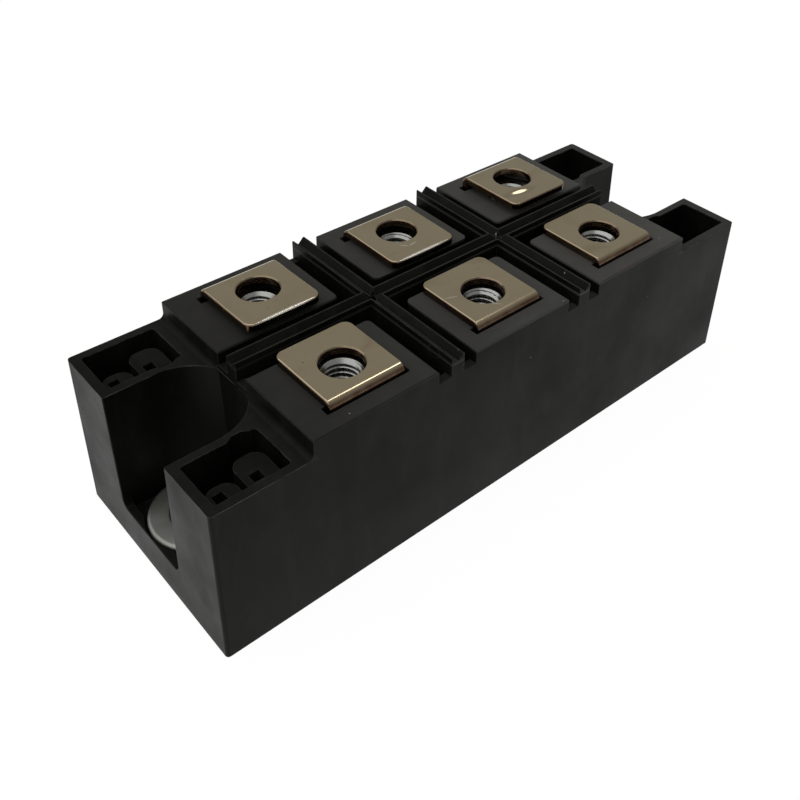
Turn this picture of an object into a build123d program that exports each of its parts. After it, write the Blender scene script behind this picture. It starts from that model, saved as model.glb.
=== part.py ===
"""Six-terminal thyristor module in a black moulded case, in millimetres.

X runs along the case, Y across it and Z up. The origin is the middle of the underside.
The two ends of the case are alike, but only the near one holds gate contacts.
"""

import os
from math import cos, radians, sin, tan

from build123d import *

# Case
case_length = 94.0
case_width = 34.0
rim_height = 23.8
case_corner_radius = 0.5

# Deck, the raised middle part that carries the terminals
deck_setback = 13.55
deck_step = 2.7
deck_edge_radius = 0.3
pad_corner_radius = 0.8
deck_step_fillet = 0.8

# Ribs between the terminals, each with a groove on both sides
rib_shift = 0.1
rib_width = 2.05
rib_height = 27.35
rib_lip = 0.2
rib_channel_depth = 0.85
crossing_pit_width = 1.3
crossing_pit_depth = 1.0
groove_width = 2.1
groove_depth = 6.5
groove_mouth_depth = 2.0
groove_end_wall = 1.2

# Mounting ends: an open slot that leads to a round well over each bush
mount_setback = 7.0
mount_bore = 6.4
well_diameter = 14.8
well_floor = 4.6
well_draft = 1.4
slot_edge_radius = 0.15
sill_height = 5.8
sill_thickness = 1.1
sill_corner_radius = 1.2

# Gate sockets, one beside each side of each well
socket_length = 10.05
socket_end_wall = 1.3
socket_side_wall = 1.15
socket_well_wall = 1.05
socket_depth = 12.8
socket_corner_radius = 0.4
key_length = 3.2
key_slope = 1.0
key_depth = 0.6
key_setback = 0.75

# Hollow underside
base_wall = 1.3
base_corner_radius = 1.2
cavity_side_wall = 1.6
cavity_end_wall = 1.45
cavity_height = 15.5
duct_height = 9.5
duct_well_wall = 0.9
duct_end_wall = 1.8

# Base plate and bushes
base_thickness = 3.0
base_clearance = 0.15
bush_margin = 0.8
bush_height = 3.1
bush_edge_radius = 0.5
bush_clearance = 0.1
bore_chamfer = 0.7

# Terminals, each a folded tab with a leg that ends in a solder foot
column_setback = 9.95
terminal_inset = 7.95
tab_width = 11.4
tab_thickness = 1.0
tab_overhang = 0.575
tab_edge_radius = 0.25
tab_corner_radius = 1.3
tab_hole = 5.8
tab_bevel = 0.15
tab_gap = 0.1
bend_radius = 0.2
leg_inset = 3.15
leg_slot_length = 12.4
leg_clearance = 0.2
wide_leg_bottom = 9.0
foot_width = 5.0
foot_setback = 0.5
foot_gap = 1.0

# How far each plate stands off the deck and opens, in mm and degrees, from the near end
front_raises = (0.0, 0.0, 0.0)
front_lifts = (0.0, 0.0, 0.0)
back_raises = (0.7, 0.5, 1.0)
back_lifts = (1.5, 0.0, 0.4)

# Nuts under the plates, M5
nut_flats = 8.0
nut_height = 4.0
nut_bore = 4.2
nut_countersink = 0.55
nut_corner_bevel = 0.5
nut_sink = 0.45
nut_clearance = 0.1
screw_room = 6.0
screw_room_depth = 4.3

# Gate socket inserts and their contacts
insert_clearance = 0.1
insert_floor = 1.6
tower_height = 22.7
tower_step = 0.25
outer_tower_length = 3.9
outer_tower_width = 3.2
inner_tower_length = 4.2
inner_tower_width = 5.0
tower_corner_radius = 1.6
tower_slit = 0.7
tower_setback = 0.1
well_square = 1.4
well_wall = 0.75
contact_width = 0.9
contact_recess = 1.3
contact_shift = 0.5
contact_tail = 0.5
contact_clearance = 0.1

# Power circuit inside
substrate_end_margin = 0.25
substrate_side_margin = 0.9
substrate_thickness = 1.0
chip_size = 8.0
chip_thickness = 0.4
chip_shift = 1.5
chip_margin = 0.1
clip_width = 3.0
clip_thickness = 0.5
clip_shift = 2.7
clip_grip = 3.5
clip_foot = 1.8
clip_gap = 0.5
clip_run_height = 2.5
link_width = 10.0
lead_diameter = 0.8
lead_turn = 1.0
lead_height = 7.9
lead_setback = 2.5
detour_shift = 1.55
detour_out = 2.0
gate_spot_shift = 3.0
gate_spot_margin = 0.05
cathode_spot_shift = 0.4
cathode_spot_margin = 1.2
gel_depth = 4.0

# What follows from the sizes above
half_length = case_length / 2
half_width = case_width / 2
half_deck = half_length - deck_setback
deck_height = rim_height + deck_step
deck_length = 2 * half_deck
channel_width = rib_width + 2 * groove_width
mount_x = half_length - mount_setback
well_radius = well_diameter / 2
bush_diameter = well_diameter - 2 * bush_margin
sill_x = half_length - sill_thickness
sill_half_width = well_radius - (rim_height - sill_height) * tan(radians(well_draft))
floor_half_width = well_radius - (rim_height - well_floor) * tan(radians(well_draft))
socket_width = half_width - socket_side_wall - socket_well_wall - well_radius
socket_x = half_length - socket_end_wall - socket_length / 2
socket_y = half_width - socket_side_wall - socket_width / 2
socket_floor = rim_height - socket_depth
key_row = socket_y - socket_width / 2
key_start = socket_x - socket_length / 2 + key_setback
key_end = key_start + key_length
outer_tower_x = socket_x + socket_length / 2 - tower_setback - outer_tower_length / 2
inner_tower_x = outer_tower_x - outer_tower_length / 2 - tower_slit - inner_tower_length / 2
outer_contact_x = outer_tower_x + contact_shift
inner_contact_x = inner_tower_x + contact_shift
terminal_pitch = half_deck - column_setback
terminal_row = half_width - terminal_inset
tab_reach = terminal_row - channel_width / 2 + tab_overhang
leg_row = half_width - leg_inset
nut_bottom = deck_height - nut_sink - nut_height
cavity_half_length = half_deck - cavity_end_wall
duct_inner = well_radius + duct_well_wall
duct_width = half_width - cavity_side_wall - duct_inner
duct_y = duct_inner + duct_width / 2
duct_end = half_length - duct_end_wall
substrate_length = 2 * (cavity_half_length - terminal_pitch - substrate_end_margin)
substrate_width = case_width - 2 * cavity_side_wall - 2 * substrate_side_margin
substrate_top = base_thickness + substrate_thickness
chip_top = substrate_top + chip_thickness
foot_shift = foot_setback + foot_width / 2
gate_spot_row = duct_inner + gate_spot_margin
cathode_spot_row = duct_inner + cathode_spot_margin
chip_edge = cathode_spot_row + lead_diameter / 2 + chip_margin
chip_row = chip_edge - chip_size / 2
clip_drop_row = chip_edge + clip_gap
clip_foot_row = clip_drop_row + clip_foot
foot_row = chip_edge + foot_gap
lead_way = cavity_half_length - lead_setback
detour_x = inner_contact_x - detour_shift
rib_offset = terminal_pitch / 2 - rib_shift
rib_centres = ((-rib_offset, 0), (rib_offset, 0))
contact_hole = contact_width + 2 * contact_clearance
slack = 0.001

# Places of the terminals: name, X, side of the case, then how far the plate is up and open
columns = (-terminal_pitch, 0.0, terminal_pitch)
rows = (("front", -1, front_raises, front_lifts), ("back", 1, back_raises, back_lifts))
terminals = []
for row_name, side, raises, lifts in rows:
    for number, (x, rise, lift) in enumerate(zip(columns, raises, lifts), 1):
        terminals.append((f"{row_name}_{number}", x, side, rise, lift))

# The gate sockets: name, end of the case, side of the case, and the wall that the towers stand
# against, 1 for the outer wall and -1 for the one beside the well. The far pockets stay empty.
sockets = (
    ("front_near", -1, -1, 1),
    ("back_near", -1, 1, -1),
)
pockets = ((-1, -1), (-1, 1), (1, -1), (1, 1))

os.makedirs("parts", exist_ok=True)


def finish(piece, name):
    """Label a finished piece and write it."""
    piece.part.label = name
    export_step(piece.part, f"parts/{name}.step")
    return piece.part


def tower_face(wall):
    """How far out the backs of the towers are, at the outer (1) or the inner (-1) wall."""
    return socket_y + wall * (socket_width / 2 - insert_clearance)


def contact_row(wall):
    """How far out the contacts stand, for towers at the outer (1) or the inner (-1) wall."""
    return tower_face(wall) - wall * (well_wall + well_square / 2)


# Space of the mounting ends: a slot and a round well behind the sill, both narrower at the foot
with BuildPart() as well_space:
    for end in (-1, 1):
        with BuildSketch(Plane.YZ.offset(end * sill_x)):
            Polygon(
                (-well_radius, deck_height),
                (-well_radius, rim_height),
                (-floor_half_width, well_floor),
                (floor_half_width, well_floor),
                (well_radius, rim_height),
                (well_radius, deck_height),
                align=None,
            )
        extrude(amount=end * (mount_x - sill_x))
        with BuildSketch(Plane((end * mount_x, 0, 0), x_dir=(1, 0, 0), z_dir=(0, -1, 0))):
            Polygon(
                (0, well_floor),
                (floor_half_width, well_floor),
                (well_radius, rim_height),
                (well_radius, deck_height),
                (0, deck_height),
                align=None,
            )
        revolve(axis=Axis((end * mount_x, 0, 0), (0, 0, 1)))
    with BuildSketch():
        Rectangle(deck_length, case_width)
    extrude(amount=deck_height, mode=Mode.SUBTRACT)

# Housing, one black moulding with the deck, ribs, wells and sockets
with BuildPart() as housing:
    with BuildSketch():
        RectangleRounded(case_length, case_width, case_corner_radius)
    extrude(amount=rim_height)
    with BuildSketch(Plane.XY.offset(rim_height)):
        Rectangle(deck_length, case_width)
    extrude(amount=deck_height - rim_height)
    rim_edges = housing.edges().filter_by(Axis.Y).filter_by_position(Axis.Z, rim_height, rim_height)
    fillet(rim_edges.filter_by_position(Axis.X, -half_deck, half_deck), deck_step_fillet)

    # Channels for the ribs: shallow through the outer walls, deep inside them
    deep_length = deck_length - 2 * groove_end_wall
    deep_width = case_width - 2 * groove_end_wall
    with BuildSketch(Plane.XY.offset(deck_height)):
        Rectangle(deck_length, channel_width)
        with Locations(*rib_centres):
            Rectangle(channel_width, case_width)
    extrude(amount=-groove_mouth_depth, mode=Mode.SUBTRACT)
    with BuildSketch(Plane.XY.offset(deck_height)):
        Rectangle(deep_length, channel_width)
        with Locations(*rib_centres):
            Rectangle(channel_width, deep_width)
    extrude(amount=-groove_depth, mode=Mode.SUBTRACT)
    inner_corners = (
        housing.edges()
        .filter_by(Axis.Z)
        .filter_by_position(Axis.Y, -channel_width / 2 - slack, channel_width / 2 + slack)
        .filter_by_position(Axis.X, -half_deck + 2 * groove_end_wall, half_deck - 2 * groove_end_wall)
    )
    fillet(inner_corners, pad_corner_radius)
    pads = housing.faces().filter_by(Axis.Z).filter_by_position(Axis.Z, deck_height, deck_height)
    fillet(pads.edges(), deck_edge_radius)

    # Ribs, standing on the groove floors and passing through the outer walls
    with BuildSketch(Plane.XY.offset(deck_height - groove_depth)):
        Rectangle(deep_length, rib_width)
        with Locations(*rib_centres):
            Rectangle(rib_width, deep_width)
    extrude(amount=rib_height - deck_height + groove_depth)
    with BuildSketch(Plane.XY.offset(deck_height - groove_mouth_depth)):
        Rectangle(deck_length, rib_width)
        with Locations(*rib_centres):
            Rectangle(rib_width, case_width)
    extrude(amount=rib_height - deck_height + groove_mouth_depth)

    # V channel along the top of each rib, with a square pit where two of them cross
    half_mouth = rib_width / 2 - rib_lip
    channel_bottom = rib_height - rib_channel_depth
    with BuildSketch(Plane.YZ.offset(-half_deck)):
        Polygon((-half_mouth, rib_height), (half_mouth, rib_height), (0, channel_bottom), align=None)
    extrude(amount=deck_length, mode=Mode.SUBTRACT)
    with BuildSketch(Plane.XZ.offset(-half_width)):
        for x, _ in rib_centres:
            Polygon(
                (x - half_mouth, rib_height),
                (x + half_mouth, rib_height),
                (x, channel_bottom),
                align=None,
            )
    extrude(amount=case_width, mode=Mode.SUBTRACT)
    with BuildSketch(Plane.XY.offset(rib_height)):
        with Locations(*rib_centres):
            Rectangle(crossing_pit_width, crossing_pit_width)
    extrude(amount=-rib_channel_depth - crossing_pit_depth, mode=Mode.SUBTRACT)

    # Mouths of the mounting slots over their sills, then the slots and wells behind them
    for end in (-1, 1):
        with BuildSketch(Plane.YZ.offset(end * half_length)) as mouth:
            Polygon(
                (-well_radius, rim_height),
                (-sill_half_width, sill_height),
                (sill_half_width, sill_height),
                (well_radius, rim_height),
                align=None,
            )
            fillet(mouth.vertices().group_by(Axis.Y)[0], sill_corner_radius)
        extrude(amount=-end * sill_thickness, mode=Mode.SUBTRACT)
        outline = (
            housing.edges()
            .filter_by_position(Axis.X, end * half_length, end * half_length)
            .filter_by_position(Axis.Y, -well_radius, well_radius)
            .filter_by_position(Axis.Z, sill_height, rim_height)
        )
        fillet(outline, slot_edge_radius)
    add(well_space.part, mode=Mode.SUBTRACT)

    # Pockets of the gate sockets, each with a key way toward the well
    with BuildSketch(Plane.XY.offset(socket_floor)):
        for end, side in pockets:
            with Locations((end * socket_x, side * socket_y)):
                RectangleRounded(socket_length, socket_width, socket_corner_radius)
            Polygon(
                (end * key_start, side * key_row),
                (end * (key_start + key_slope), side * (key_row - key_depth)),
                (end * (key_end - key_slope), side * (key_row - key_depth)),
                (end * key_end, side * key_row),
                (end * key_end, side * (key_row + key_depth)),
                (end * key_start, side * (key_row + key_depth)),
                align=None,
            )
    extrude(amount=socket_depth, mode=Mode.SUBTRACT)

    # Recess for the base plate, the hollow over it and a duct under each socket
    with BuildSketch():
        RectangleRounded(case_length - 2 * base_wall, case_width - 2 * base_wall, base_corner_radius)
    extrude(amount=base_thickness, mode=Mode.SUBTRACT)
    with BuildSketch(Plane.XY.offset(base_thickness)):
        Rectangle(2 * cavity_half_length, case_width - 2 * cavity_side_wall)
    extrude(amount=cavity_height - base_thickness, mode=Mode.SUBTRACT)
    with BuildSketch(Plane.XY.offset(base_thickness)):
        with Locations((0, duct_y), (0, -duct_y)):
            Rectangle(2 * duct_end, duct_width)
    extrude(amount=duct_height - base_thickness, mode=Mode.SUBTRACT)
    with BuildSketch(Plane.XY.offset(base_thickness)):
        with Locations((-mount_x, 0), (mount_x, 0)):
            Circle(bush_diameter / 2 + bush_clearance)
    extrude(amount=bush_height + bush_clearance, mode=Mode.SUBTRACT)

    # Nut pockets with room for the screw ends, and a slot for the leg of each terminal
    with BuildSketch(Plane.XY.offset(deck_height)):
        for _, x, side, _, _ in terminals:
            with Locations((x, side * leg_row)):
                Rectangle(leg_slot_length, tab_thickness + 2 * leg_clearance)
    extrude(amount=cavity_height - deck_height, mode=Mode.SUBTRACT)
    with BuildSketch(Plane.XY.offset(deck_height)):
        for _, x, side, _, _ in terminals:
            with Locations((x, side * terminal_row)):
                RegularPolygon(nut_flats / 2 + nut_clearance, 6, major_radius=False)
    extrude(amount=nut_bottom - deck_height, mode=Mode.SUBTRACT)
    with BuildSketch(Plane.XY.offset(nut_bottom)):
        for _, x, side, _, _ in terminals:
            with Locations((x, side * terminal_row)):
                Circle(screw_room / 2)
    extrude(amount=-screw_room_depth, mode=Mode.SUBTRACT)

    # Holes in the socket floors for the contacts
    with BuildSketch(Plane.XY.offset(duct_height)):
        for _, end, side, wall in sockets:
            for x in (outer_contact_x, inner_contact_x):
                with Locations((end * x, side * contact_row(wall))):
                    Rectangle(contact_hole, contact_hole)
    extrude(amount=socket_floor - duct_height, mode=Mode.SUBTRACT)
finish(housing, "housing")

# Base plate, flush with the underside
with BuildPart() as base_plate:
    edge = base_wall + base_clearance
    with BuildSketch():
        RectangleRounded(case_length - 2 * edge, case_width - 2 * edge, base_corner_radius)
        with Locations((-mount_x, 0), (mount_x, 0)):
            Circle(mount_bore / 2, mode=Mode.SUBTRACT)
    extrude(amount=base_thickness)
finish(base_plate, "base_plate")

# Mounting bushes, one in each well, standing on the base plate
for end, end_name in ((-1, "near"), (1, "far")):
    with BuildPart() as bush:
        with BuildSketch(Plane.XY.offset(base_thickness)):
            with Locations((end * mount_x, 0)):
                Circle(bush_diameter / 2)
                Circle(mount_bore / 2, mode=Mode.SUBTRACT)
        extrude(amount=bush_height)
        top_edges = bush.edges().filter_by(GeomType.CIRCLE).group_by(Axis.Z)[-1]
        chamfer(top_edges.sort_by(SortBy.RADIUS)[0], bore_chamfer)
        top_edges = bush.edges().filter_by(GeomType.CIRCLE).group_by(Axis.Z)[-1]
        fillet(top_edges.sort_by(SortBy.RADIUS)[-1], bush_edge_radius)
    finish(bush, f"mount_bush_{end_name}")

# Terminals: leg up through its slot, a tight bend, and a plate over the nut
inside = []
leg_inner = leg_row - tab_thickness / 2
leg_outer = leg_row + tab_thickness / 2
bend_row = leg_inner - bend_radius
plate_length = bend_row - terminal_row + tab_reach
for name, x, side, rise, lift in terminals:
    bend_height = deck_height + tab_gap + rise - bend_radius
    turn = 90 - lift
    toward_end = Vector(-side * cos(radians(lift)), sin(radians(lift)))
    with BuildPart() as terminal:
        with BuildSketch(Plane.YZ.offset(x - tab_width / 2)):
            with BuildLine():
                centre = (side * bend_row, bend_height)
                start = 90 - side * 90
                outer = CenterArc(centre, bend_radius + tab_thickness, start, side * turn)
                inner = CenterArc(centre, bend_radius, start, side * turn)
                top = Line(outer @ 1, outer @ 1 + plate_length * toward_end)
                under = Line(inner @ 1, inner @ 1 + plate_length * toward_end)
                Line(top @ 1, under @ 1)
                leg_face = Line(outer @ 0, (side * leg_outer, wide_leg_bottom))
                leg_back = Line(inner @ 0, (side * leg_inner, wide_leg_bottom))
                Line(leg_face @ 1, leg_back @ 1)
            make_face()
        extrude(amount=tab_width)
        free_edges = terminal.edges().sort_by(lambda edge: abs(edge.center().Y))
        corners = free_edges.filter_by(lambda edge: abs(edge.length - tab_thickness) < slack)
        fillet(corners[:2], tab_corner_radius)

        # Hole square to the plate, with a small bevel on its upper rim
        along = Vector(0, toward_end.X, toward_end.Y)
        square = Vector(0, side * sin(radians(lift)), cos(radians(lift)))
        bend_end = Vector(x, side * bend_row, bend_height) + (bend_radius + tab_thickness) * square
        hole_centre = bend_end + (bend_row - terminal_row) * along
        with BuildSketch(Plane(hole_centre, x_dir=(1, 0, 0), z_dir=square)):
            Circle(tab_hole / 2)
        extrude(amount=-2 * tab_thickness, mode=Mode.SUBTRACT)
        circles = terminal.edges().filter_by(GeomType.CIRCLE)
        hole_rims = circles.filter_by(lambda edge: abs(edge.radius - tab_hole / 2) < slack)
        chamfer(hole_rims.sort_by(Axis.Z)[-1], tab_bevel)

        # Rounded upper edges on the three free sides of the plate
        plate_top = terminal.faces().filter_by(GeomType.PLANE).sort_by(Axis.Z)[-1]
        rounded = plate_top.edges().filter_by(lambda edge: edge not in plate_top.inner_wires().edges())
        rounded = rounded.sort_by(lambda edge: abs(edge.center().Y))[:-1]
        fillet(rounded, tab_edge_radius)

        # Narrow leg and solder foot, set off to one side so that the clip fits beside it
        end = -1 if x <= 0 else 1
        foot_x = x - end * side * foot_shift
        with BuildSketch(Plane.YZ.offset(foot_x - foot_width / 2)):
            Polygon(
                (side * leg_outer, wide_leg_bottom),
                (side * leg_outer, substrate_top),
                (side * foot_row, substrate_top),
                (side * foot_row, substrate_top + tab_thickness),
                (side * leg_inner, substrate_top + tab_thickness),
                (side * leg_inner, wide_leg_bottom),
                align=None,
            )
        extrude(amount=foot_width)
    inside.append(finish(terminal, f"terminal_{name}"))

# Nuts, held by their pockets under the plates
nut_corner = nut_flats / 2 / cos(radians(30))
for name, x, side, _, _ in terminals:
    seat = Vector(x, side * terminal_row, nut_bottom)
    with BuildPart() as nut:
        with BuildSketch(Plane(seat)):
            RegularPolygon(nut_flats / 2, 6, major_radius=False)
        extrude(amount=nut_height)
        slope = nut_corner_bevel * tan(radians(30))
        with BuildSketch(Plane(seat, x_dir=(1, 0, 0), z_dir=(0, -1, 0))):
            Polygon(
                (0, 0),
                (nut_corner - nut_corner_bevel, 0),
                (nut_corner, slope),
                (nut_corner, nut_height - slope),
                (nut_corner - nut_corner_bevel, nut_height),
                (0, nut_height),
                align=None,
            )
        revolve(axis=Axis(seat, (0, 0, 1)), mode=Mode.INTERSECT)
        with BuildSketch(Plane(seat)):
            Circle(nut_bore / 2)
        extrude(amount=nut_height, mode=Mode.SUBTRACT)
        circles = nut.edges().filter_by(GeomType.CIRCLE)
        bore_rims = circles.filter_by(lambda edge: abs(edge.radius - nut_bore / 2) < slack)
        chamfer(bore_rims, nut_countersink)
    finish(nut, f"nut_{name}")

# Gate socket inserts, each with two towers that hold a contact in a square well
towers_bottom = socket_floor + insert_floor
insert_length = socket_length - 2 * insert_clearance
insert_width = socket_width - 2 * insert_clearance
for name, end, side, wall in sockets:
    face = tower_face(wall)
    row = side * contact_row(wall)
    free_side = 0 if side * wall > 0 else -1
    with BuildPart() as insert:
        with BuildSketch(Plane.XY.offset(socket_floor)):
            with Locations((end * socket_x, side * socket_y)):
                RectangleRounded(insert_length, insert_width, socket_corner_radius)
        extrude(amount=insert_floor)
        for tower_x, length, width, top in (
            (outer_tower_x, outer_tower_length, outer_tower_width, tower_height),
            (inner_tower_x, inner_tower_length, inner_tower_width, tower_height + tower_step),
        ):
            with BuildSketch(Plane.XY.offset(towers_bottom)) as tower:
                with Locations((end * tower_x, side * (face - wall * width / 2))):
                    Rectangle(length, width)
                fillet(tower.vertices().group_by(Axis.Y)[free_side], tower_corner_radius)
            extrude(amount=top - towers_bottom)
        with BuildSketch(Plane.XY.offset(towers_bottom)):
            with Locations((end * outer_contact_x, row), (end * inner_contact_x, row)):
                Rectangle(well_square, well_square)
        extrude(amount=tower_height + tower_step - towers_bottom, mode=Mode.SUBTRACT)
        with BuildSketch(Plane.XY.offset(socket_floor)):
            with Locations((end * outer_contact_x, row), (end * inner_contact_x, row)):
                Rectangle(contact_hole, contact_hole)
        extrude(amount=insert_floor, mode=Mode.SUBTRACT)
    finish(insert, f"gate_socket_{name}")

# Contacts and leads. The lead that starts farther out goes round the nearer contact where
# the towers stand at the inner wall, so it is the cathode lead there and the gate lead elsewhere
contact_bottom = duct_height - contact_tail
for name, end, side, wall in sockets:
    row = side * contact_row(wall)
    gate_x, cathode_x = outer_contact_x, inner_contact_x
    detour = []
    if wall < 0:
        gate_x, cathode_x = inner_contact_x, outer_contact_x
        detour = [(end * detour_x, row + side * detour_out, lead_height)]
    for use, contact_x, spot_shift, spot_row, turns in (
        ("gate", gate_x, gate_spot_shift, gate_spot_row, []),
        ("cathode", cathode_x, cathode_spot_shift, cathode_spot_row, detour),
    ):
        with BuildPart() as contact:
            with BuildSketch(Plane.XY.offset(contact_bottom)):
                with Locations((end * contact_x, row)):
                    Rectangle(contact_width, contact_width)
            extrude(amount=tower_height - contact_recess - contact_bottom)
            chamfer(contact.faces().sort_by(Axis.Z)[-1].edges(), contact_width / 4)
        finish(contact, f"contact_{use}_{name}")

        spot_x = end * (terminal_pitch - side * spot_shift)
        with BuildPart() as lead:
            with BuildLine() as route:
                FilletPolyline(
                    (end * contact_x, row, contact_bottom),
                    (end * contact_x, row, lead_height),
                    *turns,
                    (end * lead_way, side * spot_row, lead_height),
                    (spot_x, side * spot_row, lead_height),
                    (spot_x, side * spot_row, chip_top),
                    radius=lead_turn,
                )
            with BuildSketch(Plane(route.line @ 0, z_dir=route.line % 0)):
                Circle(lead_diameter / 2)
            sweep(path=route.line)
        inside.append(finish(lead, f"lead_{use}_{name}"))

# Substrates, one under each pair of facing terminals
for number, x in enumerate(columns, 1):
    with BuildPart() as substrate:
        with BuildSketch(Plane.XY.offset(base_thickness)):
            with Locations((x, 0)):
                Rectangle(substrate_length, substrate_width)
        extrude(amount=substrate_thickness)
    inside.append(finish(substrate, f"substrate_{number}"))

# Thyristor chips, two back to back in the near column, with a clip from each to the far pad
for name, end, side, _ in sockets:
    with BuildPart() as chip:
        with BuildSketch(Plane.XY.offset(substrate_top)):
            with Locations((end * (terminal_pitch - side * chip_shift), side * chip_row)):
                Rectangle(chip_size, chip_size)
        extrude(amount=chip_thickness)
    inside.append(finish(chip, f"thyristor_chip_{name}"))

    clip_x = end * (terminal_pitch - side * clip_shift)
    run_top = substrate_top + clip_run_height
    grip_row = chip_row + clip_grip / 2
    riser_row = chip_row - clip_grip / 2
    with BuildPart() as clip:
        with BuildSketch(Plane.YZ.offset(clip_x - clip_width / 2)):
            Polygon(
                (side * grip_row, chip_top),
                (side * grip_row, chip_top + clip_thickness),
                (side * (riser_row + clip_thickness), chip_top + clip_thickness),
                (side * (riser_row + clip_thickness), run_top),
                (-side * (clip_drop_row + clip_thickness), run_top),
                (-side * (clip_drop_row + clip_thickness), substrate_top + clip_thickness),
                (-side * clip_foot_row, substrate_top + clip_thickness),
                (-side * clip_foot_row, substrate_top),
                (-side * clip_drop_row, substrate_top),
                (-side * clip_drop_row, run_top - clip_thickness),
                (side * riser_row, run_top - clip_thickness),
                (side * riser_row, chip_top),
                align=None,
            )
        extrude(amount=clip_width)
    inside.append(finish(clip, f"copper_clip_{name}"))

# Links between the facing terminals of the other two columns, which run straight through
for name, x in (("middle", 0.0), ("far", terminal_pitch)):
    with BuildPart() as link:
        with BuildSketch(Plane.XY.offset(substrate_top)):
            with Locations((x, 0)):
                Rectangle(link_width, 2 * foot_row)
        extrude(amount=tab_thickness)
    inside.append(finish(link, f"{name}_link"))

# Soft gel poured over the circuit, round everything that stands in it
with BuildPart() as gel:
    with BuildSketch(Plane.XY.offset(base_thickness)):
        Rectangle(2 * cavity_half_length, case_width - 2 * cavity_side_wall)
        with Locations((0, duct_y), (0, -duct_y)):
            Rectangle(2 * duct_end, duct_width)
    extrude(amount=gel_depth)
    for piece in inside:
        add(piece, mode=Mode.SUBTRACT)
finish(gel, "gel_fill")
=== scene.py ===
# %% [markdown]
# # A thyristor module, dressed for its picture
# The solids of this module are already built and packed: a black moulded case, six folded terminal
# plates with nuts under them, bushes, sockets and the circuit inside. This file gives them their looks.
# We load the solids first.

import bpy
import numpy as np
from mathutils import Matrix, Vector


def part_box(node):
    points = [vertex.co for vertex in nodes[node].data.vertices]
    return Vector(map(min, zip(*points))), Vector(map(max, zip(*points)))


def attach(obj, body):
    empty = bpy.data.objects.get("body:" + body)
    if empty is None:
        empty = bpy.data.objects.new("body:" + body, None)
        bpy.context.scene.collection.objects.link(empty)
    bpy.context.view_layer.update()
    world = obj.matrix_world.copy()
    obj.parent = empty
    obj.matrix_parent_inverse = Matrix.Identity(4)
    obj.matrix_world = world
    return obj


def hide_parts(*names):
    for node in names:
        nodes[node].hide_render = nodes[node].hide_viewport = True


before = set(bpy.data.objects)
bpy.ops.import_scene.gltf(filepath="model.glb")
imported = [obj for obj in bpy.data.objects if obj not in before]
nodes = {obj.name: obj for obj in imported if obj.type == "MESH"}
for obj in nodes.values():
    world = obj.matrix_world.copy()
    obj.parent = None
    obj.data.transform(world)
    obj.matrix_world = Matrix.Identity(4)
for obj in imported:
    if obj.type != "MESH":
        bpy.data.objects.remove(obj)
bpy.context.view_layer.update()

# %% [markdown]
# ## Camera
# The picture is taken from above the near left corner, with a lens of about 46 mm on a 36 mm wide
# sensor. The place and the turn below come from fitting the case's corners. The optical axis does
# not pass through the middle of the picture, which the camera's shift takes care of. We write the
# camera's three axes as columns of a matrix: right, up, and back toward the viewer.

# %% Camera
azimuth, elevation, roll = np.radians([-42.586, 33.284, 2.033])
target = np.array([0.029, 0.447, 29.327]) / 1000
distance = 0.14144

level = np.array([np.sin(azimuth), -np.cos(azimuth), 0])
back = np.cos(elevation) * level + np.sin(elevation) * np.array([0, 0, 1])
right = np.cross([0, 0, 1], back)
right /= np.linalg.norm(right)
up = np.cross(back, right)
rolled_right = np.cos(roll) * right + np.sin(roll) * up
rolled_up = -np.sin(roll) * right + np.cos(roll) * up

camera_data = bpy.data.cameras.new("photo_camera")
camera_data.lens = 46.011
camera_data.sensor_width = 36.0
camera_data.shift_x = -0.04546
camera_data.shift_y = -0.18899
camera_data.clip_start = 0.005
camera_data.clip_end = 20
camera = bpy.data.objects.new("photo_camera", camera_data)
pose = np.eye(4)
pose[:3] = np.column_stack([rolled_right, rolled_up, back, target + distance * back])
camera.matrix_world = Matrix(pose.tolist())
bpy.context.collection.objects.link(camera)
bpy.context.scene.camera = camera
bpy.context.scene.view_settings.view_transform = "Standard"
print("camera at", [round(float(v) * 1000, 1) for v in pose[:3, 3]], "mm")

# %% [markdown]
# ## Small helpers for shader nodes
# Every finish below is a Principled BSDF fed by procedural nodes, and a node takes four lines when
# it is written out in full. These helpers keep the cells short. They add a node and set its inputs,
# join two sockets, and add the three kinds of node that return most often: a sum or comparison, a
# stretch of values, and noise.

# %% Node helpers
def fill(node, values):
    """Set a node's inputs by name, with spaces written as underscores."""
    for key, value in values.items():
        node.inputs[key.replace("_", " ")].default_value = value


def add(tree, kind, at=(0, 0), **values):
    """Add a node of this kind and set its inputs."""
    node = tree.nodes.new(kind)
    node.location = at
    fill(node, values)
    return node


def join(tree, source, sink):
    """Join an output socket to an input socket."""
    tree.links.new(source, sink)


def maths(tree, operation, at, *values, clamp=False):
    """A Math node on sockets or plain numbers; returns its output socket."""
    node = add(tree, "ShaderNodeMath", at)
    node.operation = operation
    node.use_clamp = clamp
    for i, value in enumerate(values):
        if isinstance(value, float):
            node.inputs[i].default_value = value
        else:
            join(tree, value, node.inputs[i])
    return node.outputs[0]


def ranged(tree, at, source, **values):
    """Stretch a value from From Min..From Max to To Min..To Max, which are 0..1 if not given."""
    node = add(tree, "ShaderNodeMapRange", at, **values)
    join(tree, source, node.inputs["Value"])
    return node.outputs["Result"]


def noise(tree, at, vector, **values):
    """Noise over a vector, mostly the object's own coordinates in metres."""
    node = add(tree, "ShaderNodeTexNoise", at, **values)
    join(tree, vector, node.inputs["Vector"])
    return node.outputs["Fac"]


print("node helpers ready")

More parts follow.
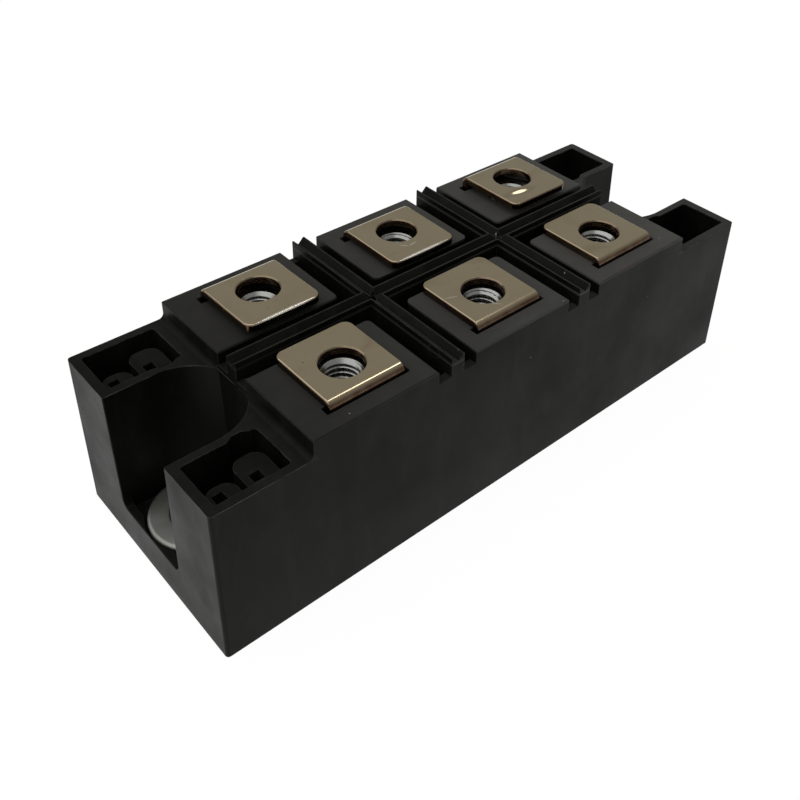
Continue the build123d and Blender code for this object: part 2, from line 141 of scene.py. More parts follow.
# %% [markdown]
# ## Groups, materials and layers of colour
# An effect that several finishes share is a node group with inputs of its own, built once and placed
# with other values each time. A finish starts as two tones mixed by some noise. What lies on top of
# it, such as wear or dust, is one more colour laid over the last one where a mask says so. At the end
# a bump shapes the light without changing the mesh, which is right for grain far too fine to model.

# %% Groups, materials and layers
def group(name, inputs, outputs):
    """Start a node group with these (name, kind, default) inputs and (name, kind) outputs."""
    tree = bpy.data.node_groups.new(name, "ShaderNodeTree")
    for label, kind, default in inputs:
        socket = tree.interface.new_socket(label, in_out="INPUT", socket_type=kind)
        socket.default_value = default
    for label, kind in outputs:
        tree.interface.new_socket(label, in_out="OUTPUT", socket_type=kind)
    start = tree.nodes.new("NodeGroupInput")
    end = tree.nodes.new("NodeGroupOutput")
    start.location, end.location = (-1200, 0), (600, 0)
    return tree, start, end


def place(tree, shared, at=(0, 0), **values):
    """Place a group in a tree and set its inputs by name."""
    node = tree.nodes.new("ShaderNodeGroup")
    node.node_tree = shared
    node.location = at
    fill(node, values)
    return node


def material(name, **values):
    """A new material with a Principled BSDF; returns the material, its tree and the shader."""
    made = bpy.data.materials.new(name)
    made.use_nodes = True
    shader = made.node_tree.nodes["Principled BSDF"]
    fill(shader, values)
    return made, made.node_tree, shader


def two_tones(tree, shader, at, mask, dark, pale):
    """Colour the shader with two tones: dark where the mask is 0, pale where it is 1."""
    tone = add(tree, "ShaderNodeMix", at)
    tone.data_type = "RGBA"
    tone.inputs["A"].default_value = (*dark, 1)
    tone.inputs["B"].default_value = (*pale, 1)
    join(tree, mask, tone.inputs["Factor"])
    join(tree, tone.outputs["Result"], shader.inputs["Base Color"])


def over(tree, shader, mask, colour, at=(0, 0)):
    """Lay a colour over the shader's base colour where the mask is 1."""
    below = shader.inputs["Base Color"].links[0].from_socket
    layer = add(tree, "ShaderNodeMix", at)
    layer.data_type = "RGBA"
    layer.inputs["B"].default_value = (*colour, 1)
    join(tree, below, layer.inputs["A"])
    join(tree, mask, layer.inputs["Factor"])
    join(tree, layer.outputs["Result"], shader.inputs["Base Color"])


def bumped(tree, shader, at, height, normal, **values):
    """Bump the shader by a height socket, on top of a normal socket."""
    bump = add(tree, "ShaderNodeBump", at, **values)
    join(tree, height, bump.inputs["Height"])
    join(tree, normal, bump.inputs["Normal"])
    join(tree, bump.outputs["Normal"], shader.inputs["Normal"])


print("group, material and layer helpers ready")

# %% [markdown]
# ## Shared effect: dust and specks
# Handling leaves pale specks on black plastic. A Voronoi pattern gives every cell one point; the
# distance to that point is a round spot, and a random value per cell keeps only a few of them. The
# same group serves the case and the sockets.

# %% Speck group
specks, start, end = group(
    "specks",
    [
        ("Scale", "NodeSocketFloat", 900.0),
        ("Share", "NodeSocketFloat", 0.02),
        ("Size", "NodeSocketFloat", 0.25),
    ],
    [("Mask", "NodeSocketFloat")],
)
where = add(specks, "ShaderNodeTexCoord", (-1200, -300)).outputs["Object"]
cells = add(specks, "ShaderNodeTexVoronoi", (-900, 0), Randomness=1.0)
cells.feature = "F1"
join(specks, where, cells.inputs["Vector"])
join(specks, start.outputs["Scale"], cells.inputs["Scale"])
draws = add(specks, "ShaderNodeSeparateColor", (-650, -150))
join(specks, cells.outputs["Color"], draws.inputs[0])
chosen = maths(specks, "LESS_THAN", (-400, -150), draws.outputs[0], start.outputs["Share"])
size = maths(specks, "MULTIPLY", (-400, 150), draws.outputs[1], start.outputs["Size"])
near = maths(specks, "LESS_THAN", (-200, 50), cells.outputs["Distance"], size)
mask = maths(specks, "MULTIPLY", (50, 0), near, chosen)
join(specks, mask, end.inputs["Mask"])
print("group:", specks.name)

# %% [markdown]
# ## Shared effect: worn edges
# A Bevel node bends the normal within a small radius of an edge. Where the bent normal and the true
# one part, there is an edge, so one minus their dot product is an edge mask. Noise breaks it up, as
# wear is never even.

# %% Edge group
edges, start, end = group(
    "worn_edges",
    [("Radius", "NodeSocketFloat", 0.0002), ("Reach", "NodeSocketFloat", 6.0)],
    [("Mask", "NodeSocketFloat"), ("Normal", "NodeSocketVector")],
)
bent = add(edges, "ShaderNodeBevel", (-900, 0))
bent.samples = 6
join(edges, start.outputs["Radius"], bent.inputs["Radius"])
true = add(edges, "ShaderNodeNewGeometry", (-900, -250))
same = add(edges, "ShaderNodeVectorMath", (-650, -100))
same.operation = "DOT_PRODUCT"
join(edges, bent.outputs["Normal"], same.inputs[0])
join(edges, true.outputs["Normal"], same.inputs[1])
apart = maths(edges, "SUBTRACT", (-450, -100), 1.0, same.outputs["Value"])
strength = maths(edges, "MULTIPLY", (-250, -100), apart, start.outputs["Reach"], clamp=True)
where = add(edges, "ShaderNodeTexCoord", (-900, -500)).outputs["Object"]
uneven = noise(edges, (-650, -450), where, Scale=900.0, Detail=4.0, Roughness=0.65)
broken = ranged(edges, (-400, -450), uneven, From_Min=0.35, From_Max=0.7)
mask = maths(edges, "MULTIPLY", (0, -200), strength, broken)
join(edges, mask, end.inputs["Mask"])
join(edges, bent.outputs["Normal"], end.inputs["Normal"])
print("group:", edges.name)

# %% [markdown]
# ## Shared effect: a single mark
# Some wear has a place of its own: a scratch beside a hole, a ring left by a washer, one crumb of
# dust. A Mapping node moves, turns and stretches the coordinates so that the mark becomes a ball of
# radius one, and a spherical gradient falls from one at its middle to nothing at its edge. A long
# thin ball is a scratch, a small round one is a crumb, and a narrow band of its values is a ring.

# %% Mark group
mark, start, end = group(
    "mark",
    [
        ("Centre", "NodeSocketVector", (0.0, 0.0, 0.0)),
        ("Turn", "NodeSocketVector", (0.0, 0.0, 0.0)),
        ("Half", "NodeSocketVector", (0.001, 0.001, 0.001)),
    ],
    [("Mask", "NodeSocketFloat")],
)
where = add(mark, "ShaderNodeTexCoord", (-900, 200)).outputs["Object"]
local = add(mark, "ShaderNodeMapping", (-650, 0))
local.vector_type = "TEXTURE"
join(mark, where, local.inputs["Vector"])
join(mark, start.outputs["Centre"], local.inputs["Location"])
join(mark, start.outputs["Turn"], local.inputs["Rotation"])
join(mark, start.outputs["Half"], local.inputs["Scale"])
ball = add(mark, "ShaderNodeTexGradient", (-350, 0))
ball.gradient_type = "SPHERICAL"
join(mark, local.outputs["Vector"], ball.inputs["Vector"])
join(mark, ball.outputs["Fac"], end.inputs["Mask"])

mark_half_height = 0.0012


def marks(tree, spots, low, high, at=(0, 0)):
    """One mask for many marks, each (x, y, z, half length, half width, turn) in mm and degrees.

    The ball's value is stretched from low..high to 0..1, and the largest of all marks counts.
    """
    most = None
    for i, (x, y, z, along, across, turn) in enumerate(spots):
        row = at[1] - 180 * i
        one = place(
            tree,
            mark,
            (at[0] - 600, row),
            Centre=(x / 1000, y / 1000, z / 1000),
            Turn=(0, 0, float(np.radians(turn))),
            Half=(along / 1000, across / 1000, mark_half_height),
        ).outputs["Mask"]
        most = one if most is None else maths(tree, "MAXIMUM", (at[0] - 400, row), most, one)
    return ranged(tree, (at[0] - 200, at[1]), most, From_Min=low, From_Max=high)


print("group:", mark.name)

# %% [markdown]
# ## Black moulded case
# The case is a glass-filled thermoset: nearly black, slightly warm, satin, with a fine orange-peel
# grain from the mould and soft cloudy patches where it was handled. Large noise drives roughness and
# a little colour, a noise drawn out in height gives wiped smears, fine noise drives the bump, and
# edge wear and specks lighten it. The moulding is much less shiny than plain plastic: its specular
# level is low, so that it turns bright only where we look along it.

# %% Case plastic
def moulded(name, dark, pale, rough, grain):
    """A satin black moulding: cloudy colour and roughness, fine bump, worn edges and specks."""
    made, tree, shader = material(
        name, Roughness=rough, Specular_IOR_Level=0.06, Specular_Tint=(1.0, 0.985, 0.88, 1)
    )
    where = add(tree, "ShaderNodeTexCoord", (-1600, 0)).outputs["Object"]
    cloud = noise(tree, (-1350, 200), where, Scale=70.0, Detail=5.0, Roughness=0.6)
    two_tones(tree, shader, (-900, 200), cloud, dark, pale)
    worn = place(tree, edges, (-1100, -100), Radius=0.00012, Reach=14.0)
    over(tree, shader, worn.outputs["Mask"], (0.075, 0.076, 0.072), (-650, 150))
    dust = place(tree, specks, (-1100, -350), Scale=560.0, Share=0.018, Size=0.13)
    over(tree, shader, dust.outputs["Mask"], (0.16, 0.16, 0.15), (-400, 150))
    drawn = add(tree, "ShaderNodeMapping", (-1350, 500), Scale=(1.0, 1.0, 0.3))
    join(tree, where, drawn.inputs["Vector"])
    smear_look = {"Scale": 190.0, "Detail": 6.0, "Roughness": 0.62, "Distortion": 0.8}
    smear = noise(tree, (-1150, 500), drawn.outputs["Vector"], **smear_look)
    wiped = ranged(tree, (-950, 500), smear, From_Min=0.46, From_Max=0.8, To_Max=0.45)
    over(tree, shader, wiped, tuple(3.0 * v for v in pale), (-250, 150))
    around = {"To_Min": rough - 0.12, "To_Max": rough + 0.12}
    spread = ranged(tree, (-900, -50), cloud, From_Min=0.3, From_Max=0.7, **around)
    join(tree, spread, shader.inputs["Roughness"])
    peel = noise(tree, (-1350, -600), where, Scale=2600.0, Detail=3.0, Roughness=0.55)
    bent = worn.outputs["Normal"]
    bumped(tree, shader, (-400, -500), peel, bent, Strength=grain, Distance=0.00002)
    return made


case_plastic = moulded("case_plastic", (0.0035, 0.0037, 0.0035), (0.0085, 0.0085, 0.0075), 0.42, 0.35)
socket_plastic = moulded("socket_plastic", (0.0045, 0.0045, 0.0045), (0.009, 0.009, 0.0085), 0.42, 0.25)
print("mouldings:", case_plastic.name, socket_plastic.name)

# %% [markdown]
# ## Lighter pads and tops
# The flat pads around the terminals are made a shade lighter than the ribs and the grooves. Their mask
# is a thin slab of height around the deck, broken up by noise. Every other face that looks up is
# lightened less, and the height of the surface normal is its mask. Both grow lighter toward the far
# end.

# %% Lighter pads and tops
def lighten_pads_and_tops(made, middle, half, end_x):
    """Lighten the faces between the heights middle - half and middle + half, and all level faces.

    The lightening grows in a straight line from one end of the case, -end_x, to the other, end_x.
    """
    tree = made.node_tree
    shader = tree.nodes["Principled BSDF"]
    where = add(tree, "ShaderNodeTexCoord", (-2300, 900)).outputs["Object"]
    axes = add(tree, "ShaderNodeSeparateXYZ", (-2100, 900))
    join(tree, where, axes.inputs[0])
    slab = maths(tree, "COMPARE", (-1900, 900), axes.outputs["Z"], middle, half)
    cloud = noise(tree, (-2100, 650), where, Scale=160.0, Detail=6.0, Roughness=0.7)
    broken = ranged(tree, (-1900, 650), cloud, From_Min=0.25, From_Max=0.75, To_Min=0.7)
    along = {"From_Min": -end_x, "From_Max": end_x, "To_Min": 0.06}
    toward_far_end = ranged(tree, (-1900, 1100), axes.outputs["X"], **along)
    lightening = maths(tree, "MULTIPLY", (-1700, 1000), toward_far_end, broken)
    pad_lightening = maths(tree, "MULTIPLY", (-1500, 800), slab, lightening)
    facing = add(tree, "ShaderNodeNewGeometry", (-2300, 400)).outputs["True Normal"]
    tilt = add(tree, "ShaderNodeSeparateXYZ", (-2100, 400))
    join(tree, facing, tilt.inputs[0])
    upward = ranged(tree, (-1900, 400), tilt.outputs["Z"], From_Min=0.85, From_Max=0.99)
    upward_lightening = maths(tree, "MULTIPLY", (-1700, 500), upward, lightening)
    # Level faces, and the pads more strongly, are made lighter toward the far end.
    over(tree, shader, upward_lightening, (0.050, 0.051, 0.049), (-400, 500))
    over(tree, shader, pad_lightening, (0.095, 0.094, 0.090), (-200, 500))


slab_middle, slab_half = 0.02637, 0.0002
half_length = 0.047
lighten_pads_and_tops(case_plastic, slab_middle, slab_half, half_length)
print("pads rubbed around the height of", slab_middle * 1000, "mm")

# %% [markdown]
# ## Marks on the pads
# On top of the dust lie the marks that can be told apart: a washer's ring beside the first terminal,
# a grey scuff along the edge of the second pad, single crumbs of dust and a faint reddish stain. Each
# is one ball of the mark group. The ring is the thin shell of a ball where its value is near 0.22.

# %% Single marks on the pads
def pad_marks(made):
    """Lay the scuffs, the ring, the crumbs and the stain over the case's colour."""
    tree = made.node_tree
    shader = tree.nodes["Principled BSDF"]
    rubs = [(0.5, -16.3, 26.5, 8.5, 0.9, 0), (7.0, -15.6, 26.5, 2.6, 1.1, 20)]
    scuffs = marks(tree, rubs, 0.15, 2.2, (-1200, 1500))
    over(tree, shader, scuffs, (0.070, 0.082, 0.092), (0, 500))
    washer = marks(tree, [(-13.1, -13.6, 26.5, 1.5, 1.5, 0)], 0.0, 1.0, (-1200, 2200))
    shell, shell_half, ring_strength = 0.22, 0.07, 0.22
    band = maths(tree, "COMPARE", (-1000, 2200), washer, shell, shell_half)
    ring = maths(tree, "MULTIPLY", (-800, 2200), band, ring_strength)
    over(tree, shader, ring, (0.060, 0.060, 0.058), (200, 500))
    crumbs = [
        (-10.8, -16.0, 26.5, 0.22, 0.14, 20),
        (7.8, -16.6, 26.5, 0.16, 0.10, 70),
        (12.2, -12.7, 26.5, 0.20, 0.12, 45),
        (12.0, 0.7, 26.6, 0.22, 0.14, 0),
        (13.5, 13.9, 26.5, 0.20, 0.14, 30),
        (-11.5, 0.5, 26.6, 0.22, 0.13, 60),
        (-27.6, -15.9, 26.5, 0.14, 0.10, 0),
        (30.5, -14.9, 26.5, 0.15, 0.11, 15),
    ]
    dust = marks(tree, crumbs, 0.1, 0.5, (-1200, 3000))
    over(tree, shader, dust, (0.30, 0.29, 0.27), (400, 500))
    red = marks(tree, [(20.9, -16.2, 26.5, 1.3, 0.5, -12)], 0.1, 3.0, (-1200, 4600))
    over(tree, shader, red, (0.16, 0.05, 0.035), (600, 500))


pad_marks(case_plastic)
print("marks laid on the pads")

# %% [markdown]
# ## The rim of the wells
# Along the end sockets and the wells, the rounded upper edge of the wall carries a painted highlight: a
# thin light line, broken here and there. The edge is already round in the solid, so the Bevel node
# finds nothing sharp there. Instead we take a band a seventh of a millimetre high just under the rim's
# height, leaving out the flat top, and break it with noise.

# %% Rim line
def painted_rim_highlight(made, middle, half, deck_end):
    """A broken painted highlight between the heights middle - half and middle + half, past the deck's
    ends.
    """
    tree = made.node_tree
    shader = tree.nodes["Principled BSDF"]
    where = add(tree, "ShaderNodeTexCoord", (-2300, -900)).outputs["Object"]
    axes = add(tree, "ShaderNodeSeparateXYZ", (-2100, -900))
    join(tree, where, axes.inputs[0])
    band = maths(tree, "COMPARE", (-1900, -900), axes.outputs["Z"], middle, half)
    highlight_breakup = noise(tree, (-2100, -1100), where, Scale=300.0, Detail=5.0, Roughness=0.7)
    broken = ranged(tree, (-1900, -1100), highlight_breakup, From_Min=0.42, From_Max=0.62)
    outward = maths(tree, "ABSOLUTE", (-1900, -1350), axes.outputs["X"])
    outside = maths(tree, "GREATER_THAN", (-1700, -1350), outward, deck_end)
    broken_highlight = maths(tree, "MULTIPLY", (-1500, -1200), outside, broken)
    line = maths(tree, "MULTIPLY", (-1300, -1000), band, broken_highlight)
    # Painted highlight along the rounded rim of the wells and end sockets.
    over(tree, shader, line, (0.10, 0.105, 0.10), (800, 500))


rim_height, below_rim, band_half, deck_end = 0.0238, 0.00008, 0.00007, 0.0330
painted_rim_highlight(case_plastic, rim_height - below_rim, band_half, deck_end)
print("rim line laid under", rim_height * 1000, "mm")

# %% [markdown]
# ## Plated metals
# The terminal plates are copper with a warm satin nickel plating; the nuts and the bushes are zinc
# plated. All share one recipe: a metal whose colour drifts slowly over the surface, with fine
# grinding scratches. The scratches are noise that is stretched along one direction.

# %% Plated metal
def plated(name, dull, bright, rough, streak, scratch):
    """A plated metal: drifting colour, roughness with streaks along one axis, faint scratches."""
    made, tree, shader = material(name, Metallic=1.0, Roughness=rough)
    where = add(tree, "ShaderNodeTexCoord", (-1600, 0)).outputs["Object"]
    drift = noise(tree, (-1350, 250), where, Scale=120.0, Detail=4.0, Roughness=0.6)
    two_tones(tree, shader, (-900, 250), drift, dull, bright)
    worn = place(tree, edges, (-1100, 0), Radius=0.00007, Reach=3.0)
    polished = tuple(min(1.0, v * 1.35) for v in bright)
    over(tree, shader, worn.outputs["Mask"], polished, (-600, 150))
    stretch = add(tree, "ShaderNodeMapping", (-1350, -200), Scale=streak)
    join(tree, where, stretch.inputs["Vector"])
    lines = noise(tree, (-1100, -250), stretch.outputs["Vector"], Scale=60.0, Detail=6.0, Roughness=0.7)
    around = {"To_Min": max(0.04, rough - 0.08), "To_Max": rough + 0.1}
    join(tree, ranged(tree, (-700, -150), lines, **around), shader.inputs["Roughness"])
    bent = worn.outputs["Normal"]
    bumped(tree, shader, (-400, -400), lines, bent, Strength=scratch, Distance=0.00001)
    return made


nickel = plated("terminal_plating", (0.46, 0.385, 0.255), (0.54, 0.47, 0.335), 0.17, (1, 40, 40), 0.08)
zinc = plated("nut_zinc", (0.20, 0.205, 0.198), (0.56, 0.565, 0.55), 0.22, (12, 12, 60), 0.35)
dull_zinc = plated("bush_zinc", (0.16, 0.168, 0.155), (0.55, 0.56, 0.52), 0.50, (6, 6, 6), 0.8)
base_nickel = plated("base_nickel", (0.52, 0.50, 0.45), (0.60, 0.58, 0.53), 0.30, (1, 60, 60), 0.20)
copper = plated("bare_copper", (0.55, 0.28, 0.17), (0.66, 0.36, 0.22), 0.32, (1, 30, 30), 0.15)
tin = plated("contact_tin", (0.55, 0.54, 0.50), (0.66, 0.65, 0.61), 0.30, (30, 30, 1), 0.15)
print("metals:", [m.name for m in (nickel, zinc, dull_zinc, base_nickel, copper, tin)])

# %% [markdown]
# ## Cut faces, a painted reflection and stains of the plates
# The plates were stamped, so their cut faces and the walls of their holes show brown copper where the
# plating is thin. The outer side of the bend gets the same brown as a painted reflection of warm
# surroundings. Those faces all stand upright, so the height of the surface normal is their mask. A soft
# noise adds faint brown stains on the tops.

# %% Cut faces, painted reflection and stains
def copper_faces_and_warm_reflection(made):
    """Brown upright faces: bare copper on cut faces and hole walls, and a painted warm reflection on
    the bend's outer side; then tarnish. The mask falls from 1 on walls to 0 on level faces.
    """
    tree = made.node_tree
    shader = tree.nodes["Principled BSDF"]
    facing = add(tree, "ShaderNodeNewGeometry", (-2300, 900)).outputs["True Normal"]
    axes = add(tree, "ShaderNodeSeparateXYZ", (-2100, 900))
    join(tree, facing, axes.inputs[0])
    height = maths(tree, "ABSOLUTE", (-1900, 900), axes.outputs["Z"])
    upright = ranged(tree, (-1700, 900), height, From_Min=0.94, From_Max=0.62)
    where = add(tree, "ShaderNodeTexCoord", (-2300, 600)).outputs["Object"]
    cloud = noise(tree, (-2100, 600), where, Scale=420.0, Detail=5.0, Roughness=0.65)
    patchy = ranged(tree, (-1900, 600), cloud, From_Min=0.3, From_Max=0.6, To_Min=0.8)
    copper_and_reflection = maths(tree, "MULTIPLY", (-1500, 800), upright, patchy)
    # Brown on upright faces: bare copper on cut faces and hole walls, painted warm reflection on the
    # bend's outer side.
    over(tree, shader, copper_and_reflection, (0.125, 0.073, 0.048), (-200, 500))
    stain_look = {"Scale": 210.0, "Detail": 3.0, "Roughness": 0.5, "Distortion": 0.6}
    stain = noise(tree, (-2100, 300), where, **stain_look)
    faint = ranged(tree, (-1900, 300), stain, From_Min=0.52, From_Max=0.75, To_Max=0.4)
    over(tree, shader, faint, (0.36, 0.27, 0.17), (0, 500))


copper_faces_and_warm_reflection(nickel)
print("plates: brown cut faces and stains")

# %% [markdown]
# ## Scratches, pits and a dent
# Two plates carry scratches next to the hole, two have a painted highlight along their front edge, and
# a few have small pits. The last plate is dented beside its hole, which catches the lamp. The dent is a
# small facet: inside one mark, the shader's normal leans over to a direction halfway between the viewer
# and the lamp. A Mix node keeps a pair of sockets for each kind of value; those of a vector are its
# inputs 4 and 5 and its output 1.

# %% Scratches, pits and a dent
def plate_marks(made, glare):
    """Lay scratches, painted highlights along two front edges, pits and the dent on the plates; the
    dent's normal is glare.
    """
    tree = made.node_tree
    shader = tree.nodes["Principled BSDF"]
    cuts = [
        (-4.4, -7.6, 27.6, 1.15, 0.07, -21),
        (-0.7, -12.4, 27.6, 0.95, 0.06, -47),
        (-1.7, 5.35, 28.1, 0.75, 0.09, -45),
        (-0.4, 4.95, 28.1, 0.85, 0.10, 6),
    ]
    scratch = marks(tree, cuts, 0.05, 0.45, (-1200, 1500))
    over(tree, shader, scratch, (1.0, 0.96, 0.88), (200, 500))
    # Painted highlight along the front edges of two plates.
    painted_edge_highlights = [(-23.6, 2.72, 28.5, 5.0, 0.34, 0), (-0.2, 2.72, 28.1, 5.0, 0.28, 0)]
    painted_edge_highlight = marks(tree, painted_edge_highlights, 0.0, 0.45, (-1200, 4400))
    over(tree, shader, painted_edge_highlight, (1.0, 0.95, 0.84), (300, 700))
    pits = [
        (-27.2, -6.2, 27.6, 0.20, 0.10, 10),
        (-23.3, 5.2, 28.4, 0.10, 0.08, 0),
        (-27.4, 7.8, 28.3, 0.10, 0.07, 0),
        (-25.0, 4.4, 28.5, 0.12, 0.08, 30),
        (2.9, -5.0, 27.6, 0.12, 0.08, 0),
    ]
    pit = marks(tree, pits, 0.1, 0.6, (-1200, 2500))
    over(tree, shader, pit, (0.10, 0.075, 0.05), (400, 500))
    dent = marks(tree, [(21.2, 5.15, 28.6, 3.7, 1.10, -8)], 0.0, 0.75, (-1200, 3600))
    over(tree, shader, dent, (0.36, 0.31, 0.225), (600, 500))
    bump = shader.inputs["Normal"].links[0].from_node
    under = bump.inputs["Normal"].links[0].from_socket
    leaning = add(tree, "ShaderNodeMix", (-800, -650))
    leaning.data_type = "VECTOR"
    leaning.inputs[5].default_value = glare
    join(tree, dent, leaning.inputs["Factor"])
    join(tree, under, leaning.inputs[4])
    unit = add(tree, "ShaderNodeVectorMath", (-600, -650))
    unit.operation = "NORMALIZE"
    join(tree, leaning.outputs[1], unit.inputs[0])
    join(tree, unit.outputs["Vector"], bump.inputs["Normal"])


halfway_to_lamp = (-0.134, -0.373, 0.918)
plate_marks(nickel, halfway_to_lamp)
print("plates: scratches, lips, pits, dent")

# %% [markdown]
# ## The hidden circuit
# Nobody sees the circuit in the closed module, but the part can be taken apart, so each hidden piece
# gets a finish of its own: white ceramic, grey silicon, silicone gel and white lead sleeves.

# %% Hidden finishes
def speckled(name, dark, pale, scale, **values):
    """A plain finish whose colour drifts between two tones."""
    made, tree, shader = material(name, **values)
    where = add(tree, "ShaderNodeTexCoord", (-1000, 0)).outputs["Object"]
    drift = noise(tree, (-750, 0), where, Scale=scale, Detail=4.0)
    two_tones(tree, shader, (-400, 0), drift, dark, pale)
    return made


die = {"Roughness": 0.15, "Metallic": 0.6}
ceramic = speckled("substrate_ceramic", (0.78, 0.78, 0.74), (0.88, 0.88, 0.85), 300.0, Roughness=0.45)
silicon = speckled("silicon", (0.10, 0.10, 0.13), (0.16, 0.16, 0.20), 200.0, **die)
gel = speckled("silicone_gel", (0.62, 0.62, 0.58), (0.72, 0.72, 0.68), 60.0, Roughness=0.12)
sleeve = speckled("lead_sleeve", (0.66, 0.65, 0.60), (0.76, 0.75, 0.70), 500.0, Roughness=0.5)
print("hidden finishes:", [m.name for m in (ceramic, silicon, gel, sleeve)])

# %% [markdown]
# ## Who gets which finish
# Every solid arrives with a name that starts with what it is, such as terminal_front_1. So a short
# list from the start of the name to a finish dresses all of them, and a new solid of a known kind
# would be dressed too. The shapes themselves are never touched here.

# %% Hand the finishes to the solids
finishes = {
    "housing": case_plastic,
    "gate_socket": socket_plastic,
    "base_plate": base_nickel,
    "mount_bush": dull_zinc,
    "terminal": nickel,
    "nut": zinc,
    "contact": tin,
    "lead": sleeve,
    "thyristor_chip": silicon,
    "copper_clip": copper,
    "middle_link": copper,
    "far_link": copper,
    "substrate": ceramic,
    "gel_fill": gel,
}
for name, node in nodes.items():
    finish = next(f for kind, f in finishes.items() if name.startswith(kind))
    node.data.materials.clear()
    node.data.materials.append(finish)
print("finished solids:", len(nodes))

# %% [markdown]
# ## Surfaces from two parameters
# A thread is easier to write as a formula than to model by hand. So we make a mesh from a function
# of two parameters, worked out by numpy for the whole grid at once. A parameter that goes round, as
# an angle does, has its last row joined to its first, which leaves no seam.

# %% Grid surfaces
def grid(name, u, v, surface, round_u=False, round_v=False):
    """A mesh from surface(u, v) on a grid of two 1-D arrays; a round parameter joins its ends."""
    points = surface(*np.meshgrid(u, v, indexing="ij")).reshape(-1, 3)
    index = np.arange(len(u) * len(v)).reshape(len(u), len(v))
    if round_u:
        index = np.concatenate([index, index[:1]], axis=0)
    if round_v:
        index = np.concatenate([index, index[:, :1]], axis=1)
    corners = index[:-1, :-1], index[1:, :-1], index[1:, 1:], index[:-1, 1:]
    faces = np.stack(corners, axis=-1).reshape(-1, 4)
    mesh = bpy.data.meshes.new(name)
    mesh.from_pydata(points.tolist(), [], faces.tolist())
    made = bpy.data.objects.new(name, mesh)
    bpy.context.collection.objects.link(made)
    return made


print("grid helper ready")

# %% [markdown]
# ## Threaded nuts
# The solids of the nuts have plain bores, because a screw's way through them has to stay clear. In
# the picture their threads can be seen, so we make them here. A nut is one closed surface of two
# parameters: the angle around the axis, and a path that goes up the hexagon, in over the top face,
# down the bore and out over the bottom face. In the bore the radius follows a trapezoid wave that
# climbs by one pitch a turn, which is what a screw thread is. Each nut starts its thread at another
# angle, as loose nuts do.

# %% Nuts
pitch, minor_radius, major_radius = 0.8, 2.1, 2.53
half_flats, bevel, countersink = 4.0, 0.5, 0.55
wave_height, wave_floor = 1.6, 0.4
bevel_angle, sharp_angle = np.radians([30, 28])
turns_apart = 0.37
bore_rows = 100


def threaded_nut(x, y, bottom, top, phase):
    """A surface for one nut: (angle, path) to a point in metres.

    Path 0..3 runs from the bottom face's outer rim up the hexagon to the top face's outer rim, and
    path 5..105 runs down the bore. The hexagon's radius is half its flats over the cosine of the
    angle from the nearest flat's middle. The bore's radius is the largest of the thread wave and
    the two countersink cones. The wave is a triangle of the height over the pitch less the turns:
    it is stretched to wave_height, lowered by wave_floor and clipped to 0..1.
    """

    def surface(angle, path):
        hexagon = half_flats / np.cos(np.mod(angle, np.pi / 3) - np.pi / 6)
        blunt = np.minimum(hexagon, half_flats / np.cos(np.pi / 6) - bevel)
        drop = (hexagon - blunt) * np.tan(bevel_angle)
        down = np.clip((path - 5) / bore_rows, 0, 1)
        bore_z = top - down * (top - bottom)
        wave = np.mod(bore_z / pitch - angle / (2 * np.pi) + phase, 1)
        tooth = np.clip((0.5 - np.abs(wave - 0.5)) * 2 * wave_height - wave_floor, 0, 1)
        thread = minor_radius + (major_radius - minor_radius) * tooth
        cone = minor_radius + countersink - np.minimum(top - bore_z, bore_z - bottom)
        stops = [path == 0, path == 1, path == 2, path == 3]
        heights = [np.full_like(drop, bottom), bottom + drop, top - drop, np.full_like(drop, top)]
        radius = np.select(stops, [blunt, hexagon, hexagon, blunt], np.maximum(thread, cone))
        z = np.select(stops, heights, bore_z)
        return np.stack([x + radius * np.cos(angle), y + radius * np.sin(angle), z], axis=-1) / 1000

    return surface


angles = np.linspace(0, 2 * np.pi, 96, endpoint=False)
steps = np.concatenate([np.arange(4), 5 + np.arange(bore_rows + 1)])
for i, name in enumerate(n for n in nodes if n.startswith("nut_")):
    low, high = (np.array(c) * 1000 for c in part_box(name))
    middle = (low + high) / 2
    shape = threaded_nut(middle[0], middle[1], low[2], high[2], turns_apart * i)
    nut = grid(f"threaded_{name}", angles, steps, shape, round_u=True, round_v=True)
    nut.data.shade_smooth()
    nut.data.set_sharp_from_angle(angle=float(sharp_angle))
    nut.data.materials.append(zinc)
    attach(nut, "root")
    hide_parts(name)
print("nuts of", len(nut.data.polygons), "faces each")

# %% [markdown]
# ## Floor
# The picture has a plain white background. The floor is pale paper; for the camera and for
# reflections it is lifted to white with emission, chosen by the Light Path node, and a trace of the
# soft shadow stays. Its light on the sides of the case is still that of the paper alone.

# %% Floor
def flat(x, y):
    """The plane z = 0."""
    return np.stack([x, y, np.zeros_like(x)], axis=-1)


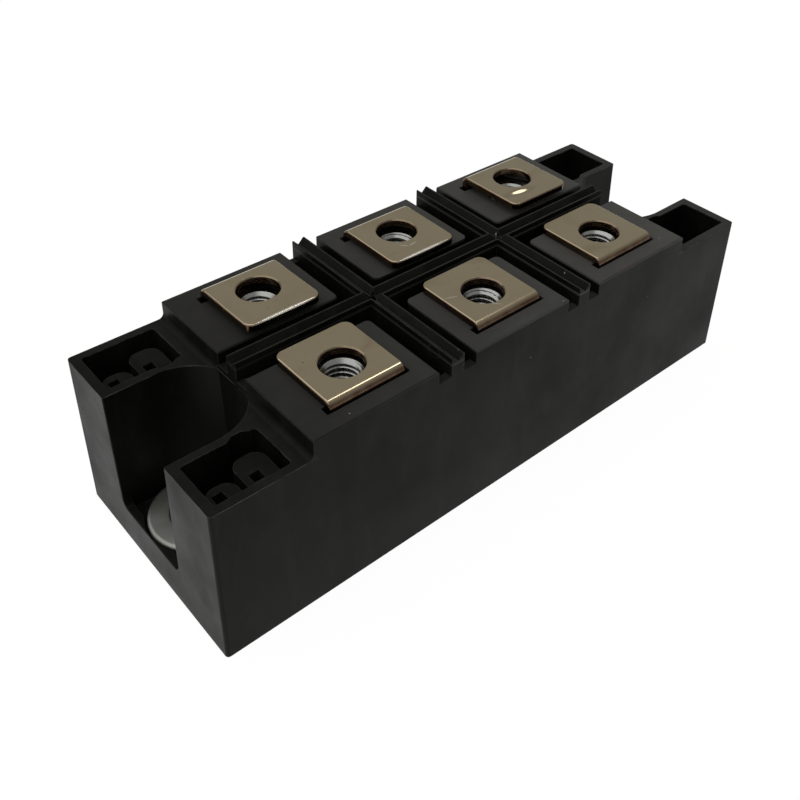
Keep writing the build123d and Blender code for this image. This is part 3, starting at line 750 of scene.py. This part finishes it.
floor_span = np.linspace(-4, 4, 9)
floor = grid("floor", floor_span, floor_span, flat)
pale, tree, shader = material("floor_paper", Roughness=0.9)
where = add(tree, "ShaderNodeTexCoord", (-900, 0)).outputs["Object"]
fibre = noise(tree, (-650, 0), where, Scale=40.0, Detail=5.0)
two_tones(tree, shader, (-350, 0), fibre, (0.80, 0.80, 0.80), (0.84, 0.84, 0.84))

lift_share, lift_strength = 0.92, 1.05
rays = add(tree, "ShaderNodeLightPath", (-600, 500)).outputs
looked_at = maths(tree, "ADD", (-400, 450), rays["Is Camera Ray"], rays["Is Glossy Ray"])
seen = maths(tree, "ADD", (-200, 450), looked_at, rays["Is Transmission Ray"], clamp=True)
share = maths(tree, "MULTIPLY", (0, 450), seen, lift_share)
glow = add(tree, "ShaderNodeEmission", (0, 250), Color=(1, 1, 1, 1), Strength=lift_strength)
blend = add(tree, "ShaderNodeMixShader", (300, 300))
join(tree, share, blend.inputs[0])
join(tree, shader.outputs[0], blend.inputs[1])
join(tree, glow.outputs[0], blend.inputs[2])
join(tree, blend.outputs[0], tree.nodes["Material Output"].inputs["Surface"])
floor.data.materials.append(pale)
print("floor:", floor.name)

# %% [markdown]
# ## Light
# The world is an even grey, which is what the flat plates mirror. A large softbox lights the tops
# from a side that the plates don't mirror, so that they stay calm. A small lamp opposite draws the
# thin bright lines along the bends and the glints on the nuts; its size sets how wide they are.

# %% Lamps and world
def lamp(name, place_at, size, power, colour):
    """A square area lamp at a point in metres, turned toward the origin."""
    data = bpy.data.lights.new(name, "AREA")
    data.shape = "SQUARE"
    data.size = size
    data.energy = power
    data.color = colour
    made = bpy.data.objects.new(name, data)
    made.location = place_at
    made.rotation_mode = "QUATERNION"
    made.rotation_quaternion = (-Vector(place_at)).to_track_quat("-Z", "Y")
    bpy.context.collection.objects.link(made)


lamp("small_overhead", (0.36, 0.02, 0.72), 0.12, 0.22, (1.0, 0.98, 0.95))
lamp("large_softbox", (-0.45, 0.20, 0.90), 1.60, 5.8, (1.0, 0.99, 0.97))
world = bpy.data.worlds.new("studio")
bpy.context.scene.world = world
world.use_nodes = True
fill(world.node_tree.nodes["Background"], {"Color": (0.34, 0.335, 0.32, 1), "Strength": 1.0})
